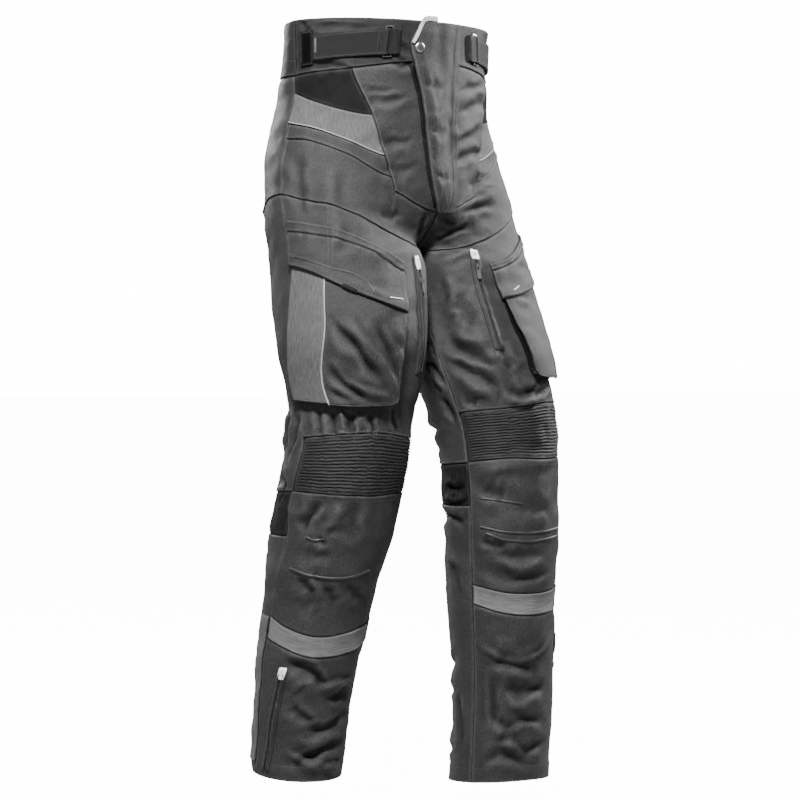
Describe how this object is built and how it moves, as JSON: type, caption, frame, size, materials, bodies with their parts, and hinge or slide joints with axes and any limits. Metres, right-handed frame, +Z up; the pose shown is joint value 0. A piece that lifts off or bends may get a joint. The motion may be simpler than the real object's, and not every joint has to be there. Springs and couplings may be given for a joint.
{
  "type": "motorcycle riding trousers",
  "caption": "Black textile riding trousers with cargo pockets, ribbed knees, grey trim, waist adjusters, thigh vent zips and hem zips, shown as worn with empty hollow legs.",
  "frame": {"origin": "middle of the waist opening, level with its edge at the side seams", "axes": "+Z up, -Y towards the wearer's front, -X towards the wearer's right"},
  "size_m": [0.4167, 0.3415, 1.0509],
  "materials": {
    "black_cloth": "matt woven nylon",
    "ribbed_cloth": "ribbed stretch cloth",
    "stretch_cloth": "dull stretch cloth",
    "grey_cloth": "heather grey weave",
    "strap_webbing": "matt woven strap",
    "zip_tape": "woven zip tape",
    "light_tape": "soft light tape",
    "reflective_film": "soft silver film",
    "metal": "satin",
    "zip_metal": "dark satin"
  },
  "bodies": {
    "trousers": {"back_waistband": "black_cloth", "fly_cover": "black_cloth", "fly_snap": "metal", "fly_tape": "light_tape", "front_waistband_right": "black_cloth", "front_waistband_left": "black_cloth", "centre_front_panel_right": "black_cloth", "centre_front_panel_left": "black_cloth", "hip_yoke_right": "stretch_cloth", "hip_yoke_left": "stretch_cloth", "hip_panel_right": "grey_cloth", "hip_panel_left": "grey_cloth", "hip_pocket_welt_right": "black_cloth", "hip_pocket_welt_left": "black_cloth", "upper_front_panel_right": "black_cloth", "upper_front_panel_left": "black_cloth", "thigh_panel_right": "black_cloth", "thigh_panel_left": "black_cloth", "knee_panel_right": "ribbed_cloth", "knee_panel_left": "ribbed_cloth", "shin_panel_right": "black_cloth", "shin_panel_left": "black_cloth", "shin_band_right": "grey_cloth", "shin_band_left": "grey_cloth", "lower_front_panel_right": "black_cloth", "lower_front_panel_left": "black_cloth", "seat_panel_right": "black_cloth", "seat_panel_left": "black_cloth", "back_thigh_panel_right": "black_cloth", "back_thigh_panel_left": "black_cloth", "knee_back_panel_right": "stretch_cloth", "knee_back_panel_left": "stretch_cloth", "calf_panel_right": "black_cloth", "calf_panel_left": "black_cloth", "cargo_pocket_right": "black_cloth", "cargo_pocket_left": "black_cloth", "pocket_strip_right": "grey_cloth", "pocket_strip_left": "grey_cloth", "pocket_flap_right": "black_cloth", "pocket_flap_left": "black_cloth", "vent_zip_right": "zip_tape", "vent_zip_left": "zip_tape", "vent_zip_cover_right": "reflective_film", "vent_zip_cover_left": "reflective_film", "vent_slider_right": "zip_metal", "vent_slider_left": "zip_metal", "hem_zip_right": "zip_tape", "hem_zip_left": "zip_tape", "hem_zip_cover_right": "reflective_film", "hem_zip_cover_left": "reflective_film", "waist_strap_right": "strap_webbing", "waist_strap_left": "strap_webbing", "ring_tab_right": "strap_webbing", "ring_tab_left": "strap_webbing", "waist_ring_right": "metal", "waist_ring_left": "metal", "calf_strip_right": "grey_cloth", "calf_strip_left": "grey_cloth"},
    "right_pull": {"vent_pull_right": "zip_metal"},
    "left_pull": {"vent_pull_left": "zip_metal"}
  },
  "joints": [
    {"name": "right_pull_hinge", "type": "hinge", "parent": "trousers", "child": "right_pull", "pos_m": [-0.0506, -0.13479, -0.36386], "axis": [-0.867, -0.479, 0.137], "range_deg": [0, 140]},
    {"name": "left_pull_hinge", "type": "hinge", "parent": "trousers", "child": "left_pull", "pos_m": [0.05083, -0.13198, -0.34292], "axis": [-0.8867, 0.4529, -0.093], "range_deg": [0, 140]}
  ]
}
